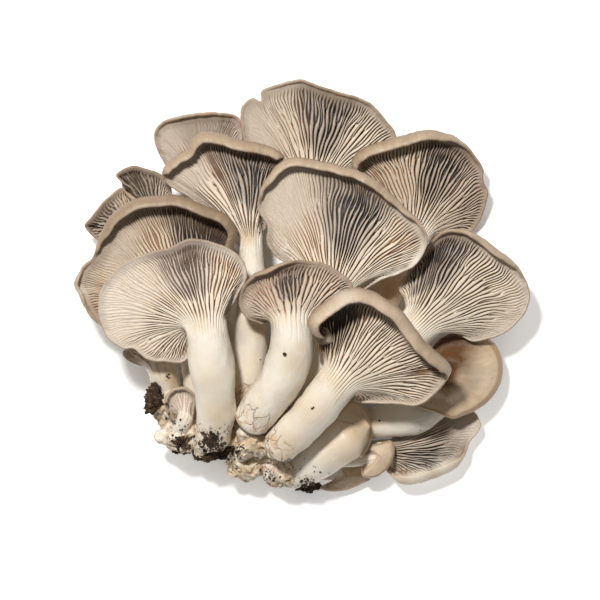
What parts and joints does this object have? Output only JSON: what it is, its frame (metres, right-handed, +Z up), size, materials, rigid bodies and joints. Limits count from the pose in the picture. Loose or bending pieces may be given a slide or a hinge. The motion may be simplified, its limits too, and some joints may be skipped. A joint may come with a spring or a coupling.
{
  "type": "oyster mushroom cluster",
  "caption": "Cluster of oyster mushrooms with fan-shaped gilled caps on pale stems that grow from one knotted base, lying flat with the gills facing up.",
  "frame": {"origin": "on the supporting surface, under the middle of the cluster's bounding box", "axes": "+Z up, the way the gills face as the cluster lies on its back; +Y from the cut base towards the caps; +X to the right as seen from above"},
  "size_m": [0.1816, 0.1674, 0.0687],
  "materials": {
    "mushroom_flesh": "satin grey-brown skin over cream gills and off-white stems",
    "mycelium": "matt, off-white and lumpy with tan stains",
    "substrate": "matt dark crumbs"
  },
  "bodies": {
    "root": {"mushroom_left_front": "mushroom_flesh", "mushroom_left_behind": "mushroom_flesh", "mushroom_upper_left": "mushroom_flesh", "mushroom_far_upper_left": "mushroom_flesh", "mushroom_top": "mushroom_flesh", "mushroom_upper_right": "mushroom_flesh", "mushroom_middle": "mushroom_flesh", "mushroom_front_middle": "mushroom_flesh", "mushroom_front_right": "mushroom_flesh", "mushroom_right": "mushroom_flesh", "mushroom_lower_right": "mushroom_flesh", "mushroom_bottom_right": "mushroom_flesh", "mushroom_bottom": "mushroom_flesh", "mushroom_bottom_small": "mushroom_flesh", "mushroom_bottom_tiny": "mushroom_flesh", "mushroom_far_left_lower": "mushroom_flesh", "mushroom_far_left_upper": "mushroom_flesh", "mushroom_left_small": "mushroom_flesh", "mushroom_curled_button": "mushroom_flesh", "mycelium_base": "mycelium", "substrate_clod_1": "substrate", "substrate_clod_2": "substrate", "substrate_clod_3": "substrate", "substrate_clod_4": "substrate"}
  },
  "joints": []
}
